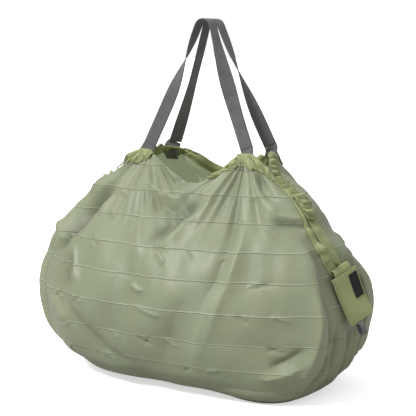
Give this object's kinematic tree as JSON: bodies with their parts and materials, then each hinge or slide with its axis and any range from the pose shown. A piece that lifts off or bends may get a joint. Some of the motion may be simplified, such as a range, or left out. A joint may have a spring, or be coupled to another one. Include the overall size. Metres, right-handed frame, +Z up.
{
  "type": "pull-to-fold carry bag",
  "caption": "Soft pleated cloth carry bag, stuffed full, with webbing handles over its open mouth and a pull tab at each gathered end.",
  "frame": {"origin": "centre of the flat base the bag stands on", "axes": "+Z up, -Y the front panel, +X the end with the labelled tab"},
  "size_m": [0.6032, 0.3628, 0.628],
  "materials": {
    "body_cloth": "thin coated polyester, soft sheen, fine creases",
    "facing_cloth": "thin coated polyester, yellow-green, soft sheen",
    "tab_cloth": "double layer of coated polyester",
    "webbing": "flat woven polyester webbing",
    "thread": "sewing thread",
    "label_weave": "dense satin weave",
    "elastic": "covered elastic braid"
  },
  "bodies": {
    "bag": {"bottom_panel": "body_cloth", "front_panel": "body_cloth", "back_panel": "body_cloth", "front_hem_facing": "facing_cloth", "back_hem_facing": "facing_cloth", "right_gathered_hem": "facing_cloth", "left_gathered_hem": "facing_cloth", "front_handle_ends": "webbing", "back_handle_ends": "webbing", "handle_stitching": "thread", "right_tab_root": "tab_cloth", "left_tab_root": "tab_cloth", "tab_stitching": "thread"},
    "front_handle_loop": {"front_handle": "webbing"},
    "back_handle_loop": {"back_handle": "webbing"},
    "right_tab": {"right_end_tab": "tab_cloth", "woven_label": "label_weave"},
    "left_tab": {"left_end_tab": "tab_cloth"},
    "elastic_loop": {"retaining_loop": "elastic"}
  },
  "joints": [
    {"name": "front_handle_swing", "type": "hinge", "parent": "bag", "child": "front_handle_loop", "pos_m": [0, -0.0415, 0.409], "axis": [1, 0, 0], "range_deg": [0, 125]},
    {"name": "back_handle_swing", "type": "hinge", "parent": "bag", "child": "back_handle_loop", "pos_m": [0, 0.0415, 0.409], "axis": [-1, 0, 0], "range_deg": [0, 125]},
    {"name": "right_tab_lift", "type": "hinge", "parent": "bag", "child": "right_tab", "pos_m": [0.2632, -0.00843, 0.21127], "axis": [-0.2649, -0.9157, -0.3023], "range_deg": [0, 150]},
    {"name": "left_tab_lift", "type": "hinge", "parent": "bag", "child": "left_tab", "pos_m": [-0.25877, 0, 0.21127], "axis": [0, 1, 0], "range_deg": [0, 150]},
    {"name": "retaining_loop_swing", "type": "hinge", "parent": "right_tab", "child": "elastic_loop", "pos_m": [0.28713, 0.0112, 0.13081], "axis": [-0.2649, -0.9157, -0.3023], "range_deg": [0, 100]}
  ]
}
